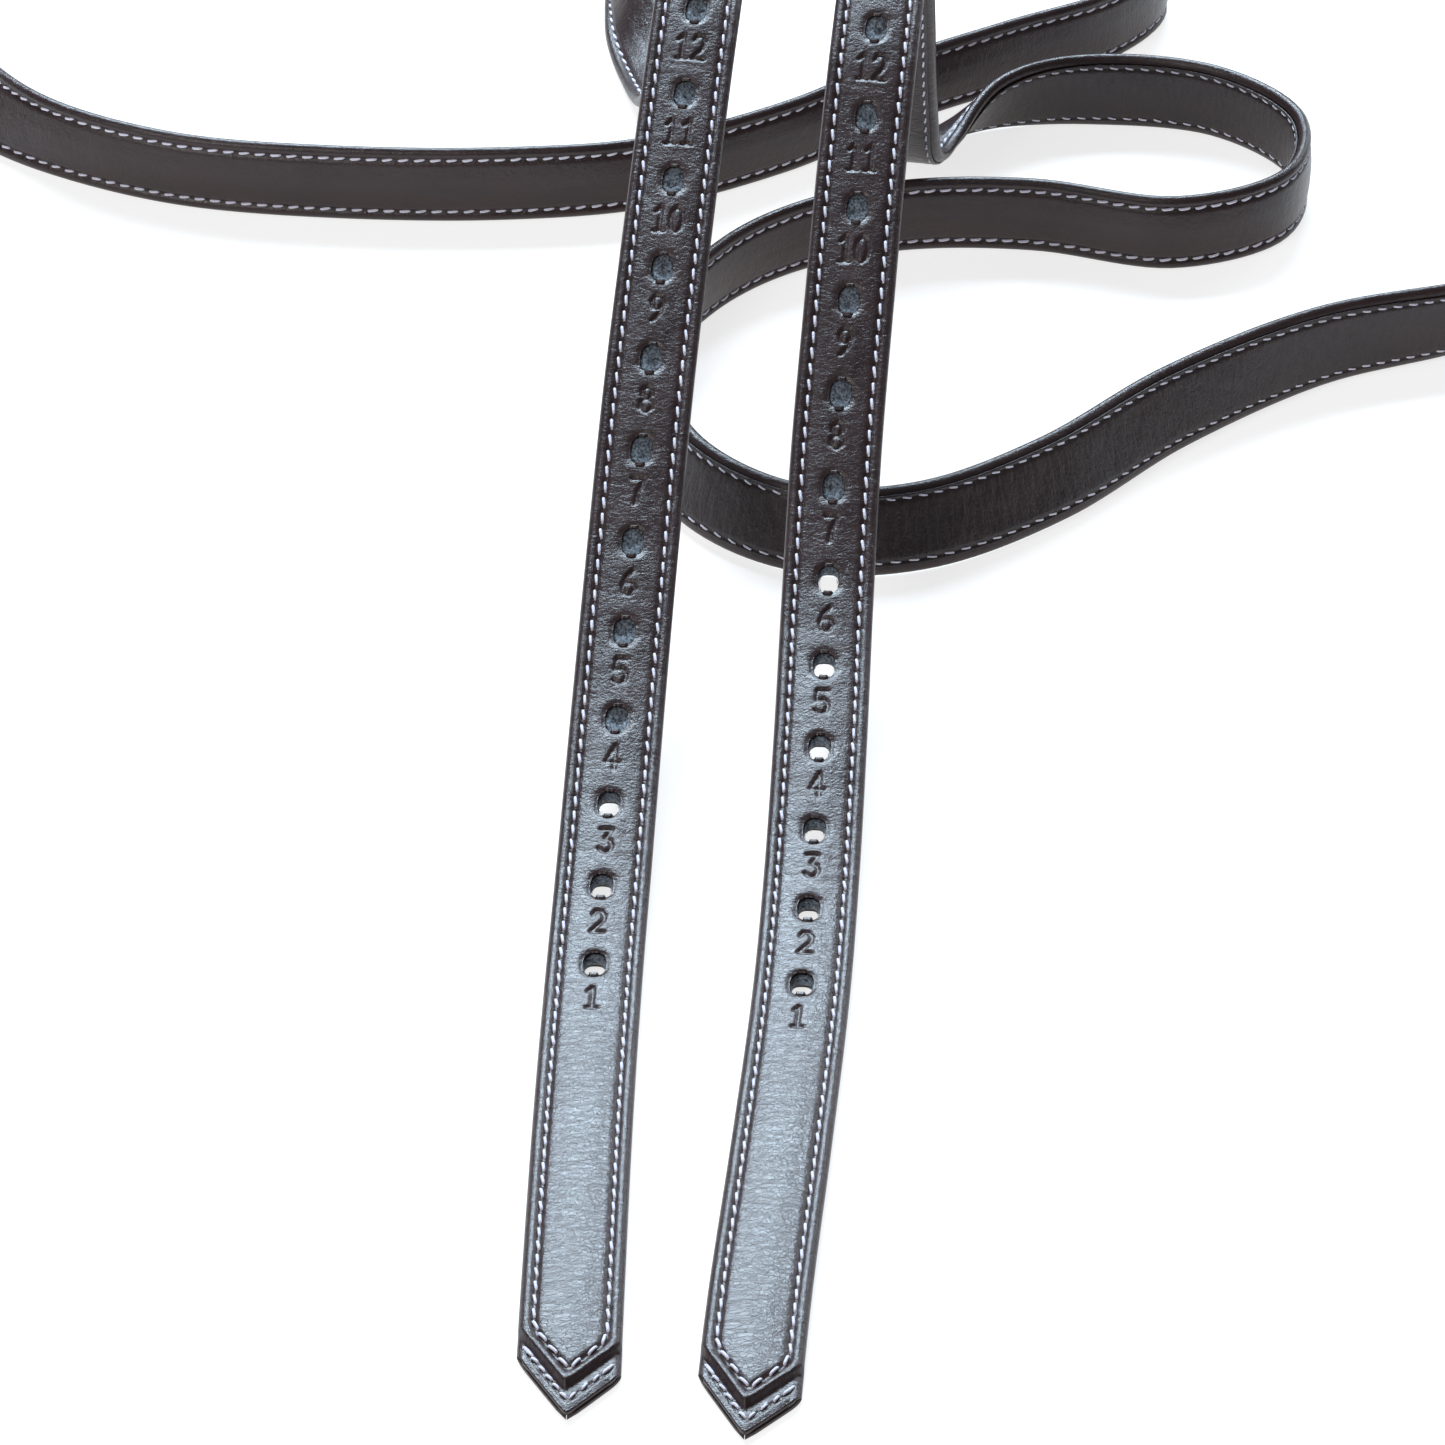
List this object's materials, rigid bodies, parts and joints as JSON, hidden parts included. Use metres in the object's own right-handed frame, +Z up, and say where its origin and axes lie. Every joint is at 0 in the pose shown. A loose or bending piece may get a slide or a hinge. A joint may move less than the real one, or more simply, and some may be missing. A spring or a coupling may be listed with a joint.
{
  "type": "pair of stirrup leathers",
  "caption": "Pair of padded leather riding straps with pointed tips, stitched edges, numbered oval holes and roller buckles, lying in loose loops.",
  "frame": {"origin": "centre of the heap's box on the surface it lies on", "axes": "+Y from the pointed tips towards the back of the heap, +X to the right, +Z up"},
  "size_m": [0.5042, 0.7276, 0.1149],
  "materials": {
    "calf_cover": "dark brown grained calf with a waxed satin face",
    "calf_lining": "dark brown calf, creased grain, satin",
    "webbing": "grey-blue woven nylon, matte",
    "thread": "waxed white thread with a cool tint",
    "stainless": "polished stainless steel with fine brushing"
  },
  "bodies": {
    "right_leather": {"right_front_cover": "calf_cover", "right_webbing_core": "webbing", "right_back_lining": "calf_lining", "right_edge_thread": "thread", "right_back_thread": "thread", "right_tip_thread": "thread", "right_buckle_chape": "calf_cover", "right_chape_thread": "thread"},
    "right_frame": {"right_buckle_frame": "stainless"},
    "right_tongue": {"right_buckle_tongue": "stainless"},
    "right_roller": {"right_buckle_roller": "stainless"},
    "left_leather": {"left_front_cover": "calf_cover", "left_webbing_core": "webbing", "left_back_lining": "calf_lining", "left_edge_thread": "thread", "left_back_thread": "thread", "left_tip_thread": "thread", "left_buckle_chape": "calf_cover", "left_chape_thread": "thread"},
    "left_frame": {"left_buckle_frame": "stainless"},
    "left_tongue": {"left_buckle_tongue": "stainless"},
    "left_roller": {"left_buckle_roller": "stainless"}
  },
  "joints": [
    {"name": "left_lift", "type": "slide", "parent": "right_leather", "child": "left_leather", "axis": [0, 0, 1], "range_m": [0, 0.2]},
    {"name": "right_frame_swing", "type": "hinge", "parent": "right_leather", "child": "right_frame", "pos_m": [0.2355, 0.20725, 0.00435], "axis": [1, 0, 0], "range_deg": [-40, 30]},
    {"name": "right_tongue_swing", "type": "hinge", "parent": "right_frame", "child": "right_tongue", "pos_m": [0.2355, 0.20725, 0.00435], "axis": [1, 0, 0], "range_deg": [0, 80]},
    {"name": "right_roller_spin", "type": "hinge", "parent": "right_frame", "child": "right_roller", "pos_m": [0.2355, 0.23825, 0.00435], "axis": [1, 0, 0], "continuous": true},
    {"name": "left_frame_swing", "type": "hinge", "parent": "left_leather", "child": "left_frame", "pos_m": [-0.2355, 0.32825, 0.00435], "axis": [1, 0, 0], "range_deg": [-40, 30]},
    {"name": "left_tongue_swing", "type": "hinge", "parent": "left_frame", "child": "left_tongue", "pos_m": [-0.2355, 0.32825, 0.00435], "axis": [1, 0, 0], "range_deg": [0, 80]},
    {"name": "left_roller_spin", "type": "hinge", "parent": "left_frame", "child": "left_roller", "pos_m": [-0.2355, 0.35925, 0.00435], "axis": [1, 0, 0], "continuous": true}
  ]
}
